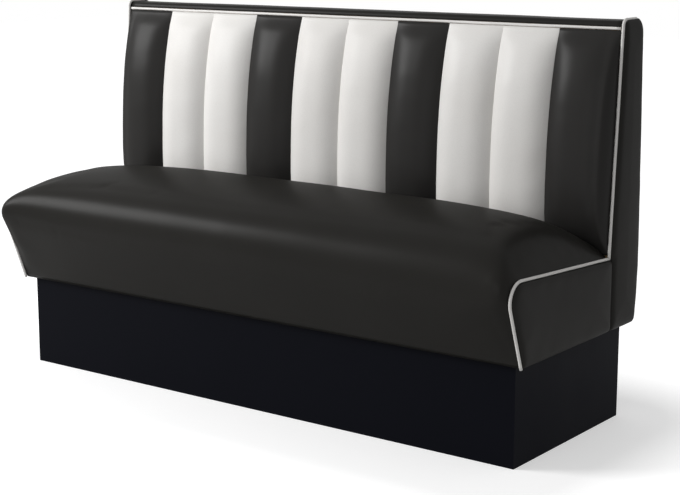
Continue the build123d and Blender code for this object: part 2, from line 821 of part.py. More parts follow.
cover_step = seat_rear_height - pad_inset + 2 * soft_clearance
for name, side in (("left", -1), ("right", 1)):
    with BuildPart() as back_end_cover:
        for out_share, drawn_share in pad_round_shares:
            drawn = drawn_share * end_pad_rounding
            with BuildSketch(side_plane(side * (body_half + out_share * end_pad_thickness))):
                with BuildLine():
                    draw_back_end(
                        pad_inset + drawn,
                        drawn,
                        cover_foot_gap + drawn,
                        joint_gap + drawn,
                        cover_step + drawn,
                    )
                make_face()
        loft(ruled=True)
    back_end_cover.part.label = f"back_{name}_end_cover"
    export_step(back_end_cover.part, f"parts/back_{name}_end_cover.step")

    with BuildPart() as back_piping:
        with BuildLine(side_plane(side * piping_x)) as back_route:
            piping_foot = seat_rear_height - piping_room + soft_clearance
            FilletPolyline(
                (back_face(piping_foot, 0), piping_foot),
                (back_face(back_top, 0), back_top),
                (back_rear(back_top, 0) - back_top_rear_radius, back_top),
                radius=[back_top_front_radius],
            )
        with BuildSketch(Plane(origin=back_route.wire() @ 0, z_dir=back_route.wire() % 0)):
            RegularPolygon(piping_radius, side_count=piping_sides)
        sweep()
    back_piping.part.label = f"back_{name}_piping"
    export_step(back_piping.part, f"parts/back_{name}_piping.step")

# Bolts that hold the two units together, with a washer and a nut on each inside the back
nut_depth = lower_rail_rear + washer_thickness
bolt_length = nut_depth + nut_height + bolt_tail - rear_rail_depth

with BuildPart() as unit_bolts:
    with BuildSketch(cross_plane(rear_rail_depth)):
        with Locations(bolt_places):
            RegularPolygon(hexagon_across_flats / 2, side_count=6, major_radius=False)
    extrude(amount=bolt_head_height)
    with BuildSketch(cross_plane(rear_rail_depth)):
        with Locations(bolt_places):
            Circle(bolt_diameter / 2)
    extrude(amount=-bolt_length)
unit_bolts.part.label = "unit_bolts"
export_step(unit_bolts.part, "parts/unit_bolts.step")

with BuildPart() as unit_washers:
    with BuildSketch(cross_plane(lower_rail_rear)):
        with Locations(bolt_places):
            Circle(washer_diameter / 2)
            Circle(bolt_hole_radius, mode=Mode.SUBTRACT)
    extrude(amount=-washer_thickness)
unit_washers.part.label = "unit_washers"
export_step(unit_washers.part, "parts/unit_washers.step")

with BuildPart() as unit_nuts:
    with BuildSketch(cross_plane(nut_depth)):
        with Locations(bolt_places):
            RegularPolygon(hexagon_across_flats / 2, side_count=6, major_radius=False)
            Circle(bolt_diameter / 2 + nut_clearance, mode=Mode.SUBTRACT)
    extrude(amount=-nut_height)
unit_nuts.part.label = "unit_nuts"
export_step(unit_nuts.part, "parts/unit_nuts.step")
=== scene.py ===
# %% [markdown]
# A diner booth bench, dressed in Blender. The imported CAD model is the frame: its boards, rails
# and bolts stay as they are and get better materials. Everything upholstered is made again
# here as cloth, padding and piping, in the same place as the solid that it stands for.

# %% Load the frame
import json
from math import atan2, cos, exp, pi, radians, sin, sqrt, tan

import bmesh
import bpy
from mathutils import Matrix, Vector, noise


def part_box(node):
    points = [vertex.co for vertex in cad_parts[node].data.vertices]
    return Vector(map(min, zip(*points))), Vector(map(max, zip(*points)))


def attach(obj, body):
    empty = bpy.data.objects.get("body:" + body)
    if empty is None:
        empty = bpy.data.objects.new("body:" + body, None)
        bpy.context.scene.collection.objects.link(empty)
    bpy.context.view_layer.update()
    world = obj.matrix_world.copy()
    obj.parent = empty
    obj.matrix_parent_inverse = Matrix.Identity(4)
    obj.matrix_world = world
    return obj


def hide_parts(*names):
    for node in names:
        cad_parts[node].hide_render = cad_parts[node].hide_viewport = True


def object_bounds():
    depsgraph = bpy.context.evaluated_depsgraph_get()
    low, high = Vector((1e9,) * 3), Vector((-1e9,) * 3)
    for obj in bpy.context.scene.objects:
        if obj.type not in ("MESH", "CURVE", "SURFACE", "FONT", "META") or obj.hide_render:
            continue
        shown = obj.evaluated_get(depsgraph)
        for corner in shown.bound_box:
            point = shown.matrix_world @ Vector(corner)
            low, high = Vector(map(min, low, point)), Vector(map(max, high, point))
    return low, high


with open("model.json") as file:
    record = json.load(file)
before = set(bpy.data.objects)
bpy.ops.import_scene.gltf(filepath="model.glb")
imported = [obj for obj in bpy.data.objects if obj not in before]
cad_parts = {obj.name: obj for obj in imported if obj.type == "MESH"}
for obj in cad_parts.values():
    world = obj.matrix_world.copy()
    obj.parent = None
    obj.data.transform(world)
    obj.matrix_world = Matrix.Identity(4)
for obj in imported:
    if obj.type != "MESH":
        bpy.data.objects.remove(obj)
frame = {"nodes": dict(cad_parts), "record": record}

cad_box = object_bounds()
nodes = frame["nodes"]
print("CAD nodes:", len(nodes))

# %% [markdown]
# The photograph was taken with a long lens from the right of the bench, a little above it.
# The camera stands where the plinth's corners and the back's top say it did. Its place is
# measured from the plinth's front face, which the frame gives.

# %% Camera
scene = bpy.context.scene
scene.view_settings.view_transform = "Standard"
plinth_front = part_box("plinth_front_board")[0].y
camera_azimuth = radians(36.58)
camera_elevation = radians(11.52)

camera_data = bpy.data.cameras.new("view")
camera_data.lens = 83.96
camera_data.sensor_width = 36
camera = bpy.data.objects.new("view", camera_data)
camera.location = (2.3498, plinth_front - 2.8050, 1.1395)
camera.rotation_euler = (pi / 2 - camera_elevation, 0, camera_azimuth)
scene.collection.objects.link(camera)
scene.camera = camera

# %% [markdown]
# The studio is a pale floor that runs out of sight, a white surrounding that only the camera
# and reflections see, and two soft lamps: a large key high on the left, in front, and a weak
# fill low in front. The floor is a little self-lit for the camera alone, so it looks white and
# still keeps the bench's shadow.

# %% Floor
floor_mesh = bpy.data.meshes.new("floor")
floor_form = bmesh.new()
bmesh.ops.create_grid(floor_form, x_segments=1, y_segments=1, size=12)
floor_form.to_mesh(floor_mesh)
floor_form.free()
floor = bpy.data.objects.new("floor", floor_mesh)
scene.collection.objects.link(floor)

# %% Lamps
def area_lamp(name, place, size, power, spot=(0, 0, 0.4)):
    """A square soft lamp that looks at a spot on the bench."""
    data = bpy.data.lights.new(name, "AREA")
    data.size = size
    data.energy = power
    lamp = bpy.data.objects.new(name, data)
    lamp.location = place
    lamp.rotation_euler = (Vector(place) - Vector(spot)).to_track_quat("Z", "Y").to_euler()
    scene.collection.objects.link(lamp)


area_lamp("key", (-3.3, -2.3, 2.4), 1.8, 165)
area_lamp("fill", (0.8, -4.0, 1.1), 2.5, 18)

# %% [markdown]
# Shader maths reads better as Python. A Socket wraps an output of a node, and the operators
# on it add Math nodes. Colours are blended with mix, because a Math node turns them grey.

# %% Shader expressions
class Socket:
    """An output socket whose operators add Math nodes to its tree."""

    def __init__(self, shader, output):
        self.shader = shader
        self.output = output

    def _math(self, operation, *values):
        return self.shader.node("ShaderNodeMath", {"operation": operation}, *values)

    def __add__(self, other):
        return self._math("ADD", self, other)

    def __sub__(self, other):
        return self._math("SUBTRACT", self, other)

    def __rsub__(self, other):
        return self._math("SUBTRACT", other, self)

    def __mul__(self, other):
        return self._math("MULTIPLY", self, other)

    def clamp(self, low=0.0, high=1.0):
        return self._math("MINIMUM", self._math("MAXIMUM", self, low), high)

    __radd__ = __add__
    __rmul__ = __mul__


class Shader:
    """A material whose node tree is written as expressions."""

    def __init__(self, name):
        self.material = bpy.data.materials.new(name)
        self.material.use_nodes = True
        self.tree = self.material.node_tree
        self.surface = self.tree.nodes["Principled BSDF"]
        self.place = self.node("ShaderNodeTexCoord", {}, output="Object")

    def node(self, kind, settings, *values, output=0, **named):
        """Add a node, set it, fill its inputs by order or by name, and wrap one output."""
        made = self.tree.nodes.new(kind)
        for name, value in settings.items():
            if name == "stops":
                self._ramp(made.color_ramp, value)
            else:
                setattr(made, name, value)
        inputs = [(made.inputs[i], v) for i, v in enumerate(values)]
        inputs += [(made.inputs[name.replace("_", " ")], v) for name, v in named.items()]
        for socket, value in inputs:
            self.fill(socket, value)
        return Socket(self, made.outputs[output])

    def _ramp(self, ramp, stops):
        while len(ramp.elements) < len(stops):
            ramp.elements.new(0.5)
        for element, (position, shade) in zip(ramp.elements, stops):
            element.position = position
            element.color = (shade, shade, shade, 1)

    def fill(self, socket, value):
        if isinstance(value, Socket):
            self.tree.links.new(value.output, socket)
        else:
            socket.default_value = value

    def stretch(self, scale):
        """Object coordinates, stretched."""
        return self.node("ShaderNodeMapping", {}, Vector=self.place, Scale=scale)

    def noise(self, scale, detail=3.0, place=None, roughness=0.5):
        """Clouds of a scale, in cycles a metre."""
        spot = place or self.place
        return self.node(
            "ShaderNodeTexNoise", {}, Vector=spot, Scale=scale, Detail=detail, Roughness=roughness
        )

    def cells(self, scale, feature="F1", place=None):
        """Irregular cells, or the distance to the edges between them."""
        spot = place or self.place
        return self.node("ShaderNodeTexVoronoi", {"feature": feature}, Vector=spot, Scale=scale)

    def ramp(self, value, stops):
        """Shades of grey at stops along a value."""
        return self.node("ShaderNodeValToRGB", {"stops": stops}, value)

    def mix(self, share, first, second):
        """Blend two colours by a share."""
        made = self.node("ShaderNodeMix", {"data_type": "RGBA"}, output=2)
        mixer = made.output.node
        self.fill(mixer.inputs[0], share)
        self.fill(mixer.inputs[6], first)
        self.fill(mixer.inputs[7], second)
        return made

    def bump(self, height, strength, distance, under=None):
        """Relief from a height, on top of another relief where one is given."""
        made = self.node("ShaderNodeBump", {}, Strength=strength, Distance=distance, Height=height)
        if under:
            self.fill(made.output.node.inputs["Normal"], under)
        return made

    def finish(self, **inputs):
        for name, value in inputs.items():
            self.fill(self.surface.inputs[name.replace("_", " ")], value)
        return self.material


def tone(red, green, blue):
    """A colour given as the eye sees it, from 0 to 255, in Blender's linear values."""

    def linear(level):
        return ((level / 255 + 0.055) / 1.055) ** 2.4 if level > 10 else level / 255 / 12.92

    return (linear(red), linear(green), linear(blue), 1)


# %% [markdown]
# The floor is a plain pale matt surface. Only the camera and reflections see its glow, which
# is weak around the bench, where the shadow lies, and full white further out. How far out is
# measured from the rectangle that the bench covers. The surroundings are white to the camera
# and to reflections, and a soft grey light to everything else.

# %% Floor and surroundings
near_glow = 0.42
covered_half = (0.7, 0.24, 0)
floor_shader = Shader("studio_floor")
seen = floor_shader.node("ShaderNodeLightPath", {}, output="Is Camera Ray")
for kind in ("Is Glossy Ray", "Is Transmission Ray"):
    seen = seen + floor_shader.node("ShaderNodeLightPath", {}, output=kind)
folded = floor_shader.node("ShaderNodeVectorMath", {"operation": "ABSOLUTE"}, floor_shader.place)
beyond = floor_shader.node("ShaderNodeVectorMath", {"operation": "SUBTRACT"}, folded, covered_half)
beyond = floor_shader.node("ShaderNodeVectorMath", {"operation": "MAXIMUM"}, beyond, (0, 0, 0))
reach = floor_shader.node("ShaderNodeVectorMath", {"operation": "LENGTH"}, beyond, output=1)
glow = floor_shader.ramp(reach, [(0.16, near_glow), (0.52, 1.0)])
fade = floor_shader.ramp(reach, [(0.3, 0.0), (1.0, 1.0)])
floor_grain = floor_shader.noise(3.0)
paint = floor_shader.mix(floor_grain, tone(228, 228, 229), tone(232, 232, 232))
floor_shader.finish(
    Base_Color=floor_shader.mix(fade * 0.8, paint, (0, 0, 0, 1)),
    Roughness=0.9,
    Emission_Color=floor_shader.mix(seen.clamp(), (0, 0, 0, 1), glow),
    Emission_Strength=1.0,
)
floor.data.materials.append(floor_shader.material)

world = bpy.data.worlds.new("surroundings")
scene.world = world
world.use_nodes = True
world_nodes = world.node_tree.nodes
world_links = world.node_tree.links
rays = world_nodes.new("ShaderNodeLightPath")
level = world_nodes.new("ShaderNodeMapRange")
world_light = 0.38
level.inputs["To Min"].default_value = world_light
level.inputs["To Max"].default_value = 1.0
shown = rays.outputs["Is Camera Ray"]
for kind in ("Is Glossy Ray", "Is Transmission Ray"):
    either = world_nodes.new("ShaderNodeMath")
    either.operation = "MAXIMUM"
    world_links.new(shown, either.inputs[0])
    world_links.new(rays.outputs[kind], either.inputs[1])
    shown = either.outputs[0]
world_links.new(shown, level.inputs["Value"])
world_links.new(level.outputs["Result"], world_nodes["Background"].inputs["Strength"])
world_nodes["Background"].inputs["Color"].default_value = (1, 1, 1, 1)

# %% [markdown]
# Upholstery vinyl is a soft plastic skin with an embossed grain: small irregular cells, about
# a millimetre across, with fine creases between them, darkened a little with painted shade. Its
# sheen is uneven, because hands and cleaning polish it, so roughness varies over a hand's
# breadth. A thin lacquer on top gives the soft light along the seat's nose without greying the
# flat top. The black of the back's channels is painted a touch paler than the seat's, for the
# light that the upright back catches, and white vinyl and piping have more gloss.

# %% Vinyl
def vinyl(name, colour, worn_colour, rough, shine, gloss, grain_depth=0.00022):
    """Upholstery vinyl: embossed cells, fine creases darkened with painted shade, and a worn sheen, under a
    thin lacquer.
    """
    shader = Shader(name)
    warp = shader.node("ShaderNodeVectorMath", {"operation": "SCALE"}, shader.noise(90.0, 2.0), Scale=0.0016)
    place = shader.node("ShaderNodeVectorMath", {"operation": "ADD"}, shader.place, warp)
    cells = shader.cells(820.0, "F1", place)
    creases = shader.cells(430.0, "DISTANCE_TO_EDGE", place)
    crease_line = shader.ramp(creases, [(0.0, 0.0), (0.16, 1.0)])
    pores = shader.noise(2600.0, 2.0)
    clouds = shader.noise(5.0, 4.0)
    wear = shader.ramp(clouds, [(0.36, 0.0), (0.68, 1.0)])
    grain = (1 - cells) * 0.55 + crease_line * 0.35 + pores * 0.18
    ripple = shader.noise(34.0, 3.0)
    swell = shader.bump(ripple, 0.35, 0.0006)
    shade = shader.mix(wear * 0.55, colour, worn_colour)
    # Painted shade: the creases between the grain's cells are darkened a little.
    shade = shader.mix((1 - crease_line) * 0.22, shade, tuple(c * 0.72 for c in colour[:3]) + (1,))
    return shader.finish(
        Base_Color=shade,
        Roughness=rough + wear * 0.07 + pores * 0.05,
        Specular_IOR_Level=shine,
        Coat_Weight=gloss,
        Coat_Roughness=0.34,
        Normal=shader.bump(grain, 0.55, grain_depth, under=swell),
    )


black_vinyl = vinyl("black_vinyl", tone(34, 33, 31), tone(38, 37, 35), 0.5, 0.01, 0.13)
# The back's black is a paler copy of the seat's black vinyl: painted light, for the light that the upright
# back catches.
back_vinyl_painted_lit = vinyl("black_back_vinyl", tone(42, 41, 40), tone(46, 45, 44), 0.5, 0.01, 0.16)
white_vinyl = vinyl("white_vinyl", tone(232, 230, 227), tone(225, 222, 218), 0.5, 0.1, 0.15)
piping_vinyl = vinyl("piping_vinyl", tone(236, 234, 231), tone(228, 225, 221), 0.45, 0.2, 0.3, 0.00012)

# %% [markdown]
# The plinth is faced with a black laminate: hard, nearly smooth, with a cold tinge and a faint
# pebble. Dust lies on it in faint clouds.

# %% Laminate
laminate_shader = Shader("black_laminate")
pebble = laminate_shader.noise(700.0, 3.0)
dust = laminate_shader.ramp(laminate_shader.noise(4.0, 5.0), [(0.4, 0.0), (0.75, 1.0)])
streaks = laminate_shader.noise(9.0, 4.0, laminate_shader.stretch((1.0, 1.0, 0.12)))
black_laminate = laminate_shader.finish(
    Base_Color=laminate_shader.mix(dust * 0.5, tone(9, 10, 16), tone(13, 14, 20)),
    Roughness=0.5 + dust * 0.08 + streaks * 0.06,
    Specular_IOR_Level=0.03,
    Normal=laminate_shader.bump(pebble, 0.3, 0.00012),
)


# %% [markdown]
# The frame inside is plywood, softwood and hardboard. Plywood shows long flowing grain on its
# face and thin plies on its edge. Softwood shows growth rings as broad bands. Both come from
# noise that is stretched along the board.

# %% Timber
def timber(name, pale, dark, stretch, ring_scale, rough):
    """Bare wood whose rings and pores are stretched along the board."""
    shader = Shader(name)
    along = shader.stretch(stretch)
    rings = shader.noise(ring_scale, 5.0, along, 0.6)
    bands = shader.ramp(rings, [(0.3, 0.0), (0.46, 0.75), (0.52, 0.2), (0.7, 1.0)])
    pores = shader.noise(ring_scale * 40, 2.0, along)
    shade = shader.mix(bands, pale, dark)
    shade = shader.mix((pores * 0.3).clamp(), shade, dark)
    return shader.finish(
        Base_Color=shade,
        Roughness=rough + bands * 0.1,
        Normal=shader.bump(bands * 0.6 + pores * 0.4, 0.3, 0.0003),
    )


plywood = timber("plywood", tone(203, 172, 128), tone(172, 136, 92), (0.6, 3.0, 3.0), 3.0, 0.62)
pine = timber("pine", tone(214, 180, 130), tone(186, 142, 88), (0.4, 6.0, 6.0), 4.0, 0.6)
hardboard = timber("hardboard", tone(122, 88, 60), tone(104, 72, 48), (6.0, 6.0, 6.0), 9.0, 0.55)

# %% [markdown]
# Foam is a mass of fine open cells. The fasteners are zinc plated: bright metal with a faint
# yellow bloom and small changes in gloss.

# %% Foam and zinc
foam_shader = Shader("foam")
foam_cells = foam_shader.cells(900.0)
foam_cloud = foam_shader.noise(12.0, 3.0)
foam = foam_shader.finish(
    Base_Color=foam_shader.mix(foam_cells * 0.5 + foam_cloud * 0.3, tone(240, 228, 178), tone(214, 196, 138)),
    Roughness=0.85,
    Normal=foam_shader.bump(foam_cells, 0.6, 0.0006),
)

zinc_shader = Shader("zinc_steel")
bloom = zinc_shader.noise(60.0, 4.0)
zinc = zinc_shader.finish(
    Base_Color=zinc_shader.mix(bloom, tone(196, 196, 190), tone(206, 198, 168)),
    Metallic=1.0,
    Roughness=0.28 + bloom * 0.2,
    Normal=zinc_shader.bump(zinc_shader.noise(500.0), 0.15, 0.0001),
)

# %% [markdown]
# Each board, rail and bolt of the frame keeps its CAD mesh and gets the material of its slot
# in the record.

# %% Dress the CAD nodes
slot_materials = {
    "black_laminate": black_laminate,
    "plywood": plywood,
    "pine": pine,
    "hardboard": hardboard,
    "foam": foam,
    "black_vinyl": black_vinyl,
    "white_vinyl": white_vinyl,
    "piping_vinyl": piping_vinyl,
    "zinc_steel": zinc,
}
node_slots = {part["node"]: part["material_slot"] for part in frame["record"]["subparts"]}
for name, node in nodes.items():
    node.data.materials.clear()
    node.data.materials.append(slot_materials[node_slots[name]])
print("dressed", len(nodes), "CAD nodes")

# %% [markdown]
# The upholstery follows one line: the seam where the covers meet the end panels. These sizes,
# in metres, are the ones that the CAD model is drawn from. Depth is measured from the plinth's
# front face and height from the floor.

# %% Sizes of the upholstery
body_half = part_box("seat_cover")[1].x
plinth_top = 0.229
bench_top = cad_box[1].z
clearance = 0.0003
piping_radius, bead_radius = 0.00375, 0.0034
piping_room = (piping_radius + clearance) / sqrt(2)
piping_x = body_half + piping_room + 0.0006
skin = 0.004

seat_depth = 0.378
back_line = 0.367
seat_rear_height = 0.400
back_lean = radians(3.5)
back_top = bench_top - piping_radius
top_piping_height = 0.913


def back_face(height, inset=0.0):
    """Depth of the back's leaning front at a height."""
    return back_line + (height - seat_rear_height) * tan(back_lean) + inset / cos(back_lean)


def blend(start, end, share):
    """The value that lies a share of the way from start to end."""
    return start + (end - start) * share


# %% [markdown]
# A strip of cloth is a flat grid whose points are moved: one direction of the grid runs along
# the bench, the other follows a profile. Padding is a block, subdivided, whose points are
# moved in the same way. Both helpers take a function that says where a point goes.

# %% Making and finishing a piece
def piece(name, form, material, replaced=(), smooth=True):
    """Turn a bmesh into a finished object that rides on the bench."""
    mesh = bpy.data.meshes.new(name)
    for face in form.faces:
        face.smooth = smooth
    form.to_mesh(mesh)
    form.free()
    mesh.materials.append(material)
    made = bpy.data.objects.new(name, mesh)
    scene.collection.objects.link(made)
    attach(made, "root")
    if replaced:
        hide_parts(*replaced)
    return made


def strip(columns, rows, place):
    """A grid whose points go where place(across, along) says, both from 0 to 1."""
    form = bmesh.new()
    bmesh.ops.create_grid(form, x_segments=columns, y_segments=rows, size=0.5)
    for vert in form.verts:
        vert.co = place(vert.co.x + 0.5, vert.co.y + 0.5)
    bmesh.ops.recalc_face_normals(form, faces=form.faces)
    return form


def block(cuts, place):
    """A cube, cut along each axis, whose points go where place(x, y, z) says."""
    form = bmesh.new()
    bmesh.ops.create_cube(form, size=1.0)
    for axis, count in enumerate(cuts):
        rails = [e for e in form.edges if abs(e.verts[0].co[axis] - e.verts[1].co[axis]) > 0.5]
        bmesh.ops.subdivide_edges(form, edges=rails, cuts=count, use_grid_fill=True)
    for vert in form.verts:
        vert.co = place(*(vert.co + Vector((0.5, 0.5, 0.5))))
    bmesh.ops.recalc_face_normals(form, faces=form.faces)
    return form


def thicken(made, thickness, offset):
    """Give a sheet of cloth its thickness."""
    solid = made.modifiers.new("thickness", "SOLIDIFY")
    solid.thickness = thickness
    solid.offset = offset
    return made


# %% [markdown]
# Padding pushes a cover outwards between its seams. A cloth simulation finds that shape: the
# sewn edges are pinned, a little pressure fills the piece and gravity is off. The foam below
# lets no point sink, so only outward moves count, and they are eased towards a cap.

# %% Inflating a cover
def inflate(form, sewn, pressure, cap):
    """Swell a form by a cloth simulation, in which the sewn points stay where they are."""
    form.verts.index_update()
    mesh = bpy.data.meshes.new("cover")
    form.to_mesh(mesh)
    cover = bpy.data.objects.new("cover", mesh)
    scene.collection.objects.link(cover)
    pins = cover.vertex_groups.new(name="sewn")
    pins.add([v.index for v in form.verts if sewn(v.co)], 1.0, "REPLACE")
    cloth = cover.modifiers.new("cloth", "CLOTH")
    cloth.settings.vertex_group_mass = pins.name
    cloth.settings.use_pressure = True
    cloth.settings.uniform_pressure_force = pressure
    cloth.settings.effector_weights.gravity = 0
    for moment in range(1, 21):
        scene.frame_set(moment)
    swollen = cover.evaluated_get(bpy.context.evaluated_depsgraph_get()).to_mesh()
    form.normal_update()
    moves = [(after.co - vert.co).dot(vert.normal) for vert, after in zip(form.verts, swollen.vertices)]
    for vert, move in zip(form.verts, moves):
        vert.co += vert.normal * cap * (1 - exp(-max(0.0, move) / cap))
    outward_count = sum(move > 0 for move in moves)
    print("swelled", outward_count, "points; free, the furthest moved", round(max(moves), 4))
    bpy.data.objects.remove(cover)
    scene.frame_set(1)


# %% [markdown]
# Profiles are runs of short steps along lines and arcs. An arc is given by the direction in
# which it leaves its first point.

# %% Lines and arcs
def direction(angle):
    """The unit vector at an angle."""
    return Vector((cos(angle), sin(angle)))


def line_points(start, end, count):
    """Points along a line, without its end."""
    return [start.lerp(end, i / count) for i in range(count)]


def arc_points(start, end, leaving, count):
    """Points on the arc that leaves start at an angle and reaches end."""
    chord = end - start
    turn = leaving - atan2(chord.y, chord.x)
    if abs(turn) < 1e-6:
        return line_points(start, end, count)
    radius = chord.length / 2 / sin(turn)
    centre = start - direction(leaving + pi / 2) * radius
    first = atan2(start.y - centre.y, start.x - centre.x)
    return [centre + direction(first - 2 * turn * i / count) * abs(radius) for i in range(count)]


def fillet_points(before, corner, after, radius, count):
    """Points on the rounding of a corner between two straight runs."""
    back_way = (before - corner).normalized()
    on_way = (after - corner).normalized()
    half_angle = back_way.angle(on_way) / 2
    start = corner + back_way * (radius / tan(half_angle))
    end = corner + on_way * (radius / tan(half_angle))
    return arc_points(start, end, atan2(-back_way.y, -back_way.x), count) + [end]


# %% [markdown]
# The seat is a thick block of foam under a tensioned cover. The cover leans out from the
# plinth, turns over a round nose, rises in an arch and dives behind the back's channels. Its
# crown is full along most of the bench and falls close to the end panels, where the cover is
# sewn to the piping. The nose is rounder than its piping, most of all towards the right, and
# sharp only at the left end, as the photograph shows. The section is worked out for any place
# along the length.

# %% Seat section
seat_toe = 0.017
corner_end, corner_crown = Vector((-0.088, 0.423)), Vector((-0.138, 0.469))
nose_end_radius, nose_crown_radius, nose_left_radius = 0.042, 0.085, 0.020
crown_rise = radians(17)
rear_end, rear_crown_point = Vector((back_line, 0.400)), Vector((back_line - 0.047, 0.503))
tuck = Vector((seat_depth - 0.003, 0.387))
end_slope = atan2(rear_end.y - corner_end.y, rear_end.x - corner_end.x) + radians(0.1)
left_fullness, right_slack, middle_dip = 0.012, 0.003, 0.006


def crown(share, belly, slow, steep):
    """How full the crown is at a share of the half length."""
    return 1 - belly * abs(share) ** slow - (1 - belly) * abs(share) ** steep


def unevenness(share):
    """The padding is a little fuller at the left, and a little slacker right of the middle."""
    fuller = left_fullness * max(0.0, -share) ** 1.5
    slacker = right_slack * sin(pi * max(0.0, share))
    return fuller - slacker - middle_dip * (1 - share**4)


def seat_section(share, inset, counts=(16, 12, 30, 12)):
    """Depth and height of points on the cover, from its foot over the nose to the tuck."""
    outwards = crown(share, 0.1, 6, 100 if share < 0 else 36)
    front = crown(share, 0.15, 6, 24 if share < 0 else 36)
    rear = crown(share, 0.7, 4, 20)
    foot = Vector((-seat_toe, plinth_top))
    corner_depth = blend(corner_end.x, corner_crown.x, outwards)
    corner = Vector((corner_depth, blend(corner_end.y, corner_crown.y, front)))
    hind = rear_end.lerp(rear_crown_point, rear) + Vector((0, unevenness(share) * rear))
    leftward, rightward = max(0.0, -share), max(0.0, share)
    rise = blend(end_slope, crown_rise + radians(1.2 * leftward - 2.5 * rightward), front)
    full_radius = nose_crown_radius + 0.03 * rightward - 0.025 * leftward**3
    if share < 0:
        near_radius = blend(nose_left_radius, full_radius, front * front)
    else:
        near_radius = blend(nose_end_radius, full_radius, front)
    radius = blend(nose_end_radius, near_radius, outwards) - inset
    down = (foot - corner).normalized()
    along = direction(rise)
    spread = down.angle(along)
    corner += (down + along) * (inset / sin(spread))
    reach = radius / tan(spread / 2)
    nose_start = corner + down * reach
    nose_end = corner + along * reach
    foot += Vector((inset / sin(down.angle(Vector((1, 0)))), 0))
    chord = hind - corner
    turn = rise - atan2(chord.y, chord.x)
    back_along = -direction(rise - 2 * turn)
    fall = (tuck - hind).normalized()
    hind += (back_along + fall) * (inset / sin(back_along.angle(fall)))
    tail = tuck + Vector((fall.y, -fall.x)) * inset
    points = line_points(foot, nose_start, counts[0])
    points += arc_points(nose_start, nose_end, atan2(-down.y, -down.x), counts[1])
    points += arc_points(nose_end, hind, rise, counts[2])
    points += line_points(hind, tail, counts[3]) + [tail]
    return points


# %% [markdown]
# A real cover isn't perfectly even. Small pulls run in from the piping where the cover is
# sewn down, and two short tension creases show in the photograph: one beside the right front
# corner, one where seat and back meet at the right end. A crease is a shallow groove along a
# short line, with a soft swelling on each side.

# %% Pulls and creases
fade_factor = 2.718
ridge_share = 0.45
pull_reach = 0.05


def fading(widths):
    """How strong a pull or a crease still is, some widths away from it."""
    return fade_factor**-widths


def groove(point, start, end, width, depth):
    """How far a point sinks beside a crease that runs from start to end."""
    run = end - start
    along = max(0.0, min(1.0, (point - start).dot(run) / run.length_squared))
    gap = (point - start - run * along).length / width
    fade = sin(pi * min(1.0, max(0.0, 0.04 + 0.92 * along)))
    return depth * fade * (fading(gap * gap) - ridge_share * fading((gap - 2) ** 2))


def pulls(point, edge_gap, size):
    """Uneven tension that dies away from a sewn edge."""
    ripple = noise.noise(Vector((point.x * 14, point.y * 26, point.z * 26)))
    return size * fading(edge_gap / pull_reach) * ripple


def slow_waves(point, size):
    """The unevenness that a hand feels on stretched cloth."""
    return size * noise.noise(point * 5.5)


# %% Seat cover
seat_rows = len(seat_section(0, 0)) - 1
seat_columns = 150
seat_swell, seat_pressure = 0.0035, 4.0
seat_wave, seat_pull = 0.0016, 0.0022
seat_creases = [
    (Vector((0.722, -0.088, 0.440)), Vector((0.690, -0.112, 0.400)), 0.006, 0.004),
    (Vector((0.712, 0.322, 0.438)), Vector((0.738, 0.350, 0.408)), 0.006, 0.005),
]


def end_share(across):
    """Places along the bench that lie closer together towards the ends."""
    side = 2 * across - 1
    return (1 - (1 - abs(side)) ** 1.8) * (1 if side > 0 else -1)


def seat_point(across, along):
    """A point of the seat cover, across the bench and along its section."""
    share = end_share(across)
    section = seat_section(share, piping_room)
    depth, height = section[round(along * seat_rows)]
    return Vector((share * body_half, depth + plinth_front, height))


seat_form = strip(seat_columns, seat_rows, seat_point)
print("seat cover:", len(seat_form.faces), "faces")

# %% [markdown]
# The grid is dense near the ends, where the cover turns down, and its normals must point out
# of the cushion. Each point is moved along its normal by slow waves and by the pulls beside the
# piping. Then the cover is swelled, and the creases come last, so that the swelling keeps them.

# %% Seat cover, worked over
seat_form.normal_update()
if sum(f.normal.z for f in seat_form.faces) < 0:
    bmesh.ops.reverse_faces(seat_form, faces=seat_form.faces)
    seat_form.normal_update()
moves = {}
for vert in seat_form.verts:
    local = vert.co - Vector((0, plinth_front, 0))
    edge_gap = body_half - abs(vert.co.x)
    free = min(1.0, edge_gap / 0.012) * min(1.0, (local.z - plinth_top) / 0.02 + 0.1)
    lift = slow_waves(vert.co, seat_wave) * free + pulls(vert.co, edge_gap, seat_pull) * free
    moves[vert] = vert.normal * lift
for vert, move in moves.items():
    vert.co += move


def seat_sewn(point):
    """Whether a point of the cover is held: at the piping, at the foot or behind the back."""
    local_depth = point.y - plinth_front
    at_tuck = local_depth > back_line - 0.012 and point.z < rear_end.y + 0.004
    return body_half - abs(point.x) < 0.003 or point.z < plinth_top + 0.004 or at_tuck


inflate(seat_form, seat_sewn, seat_pressure, seat_swell)
seat_form.normal_update()
for vert in seat_form.verts:
    local = vert.co - Vector((0, plinth_front, 0))
    vert.co -= vert.normal * sum(groove(local, *crease) for crease in seat_creases)
seat_cover = piece("cushion_cover", seat_form, black_vinyl, ["seat_cover"])
thicken(seat_cover, skin, -1)

# %% [markdown]
# Under the cover lies the foam. It can't be seen, but it is there when the bench is taken
# apart. The cover presses its nose rounder than the foam was cut, so the block is made from the
# same section as the cover, a skin's thickness further in, down to the foot of the CAD solid.

# %% Foam block
foam_low, foam_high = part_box("seat_foam")


def resampled(points, share):
    """The point at a share of the length of a run of points."""
    lengths = [(b - a).length for a, b in zip(points, points[1:])]
    left = share * sum(lengths)
    for start, end, length in zip(points, points[1:], lengths):
        if left <= length:
            return start.lerp(end, left / length)
        left -= length
    return points[-1]


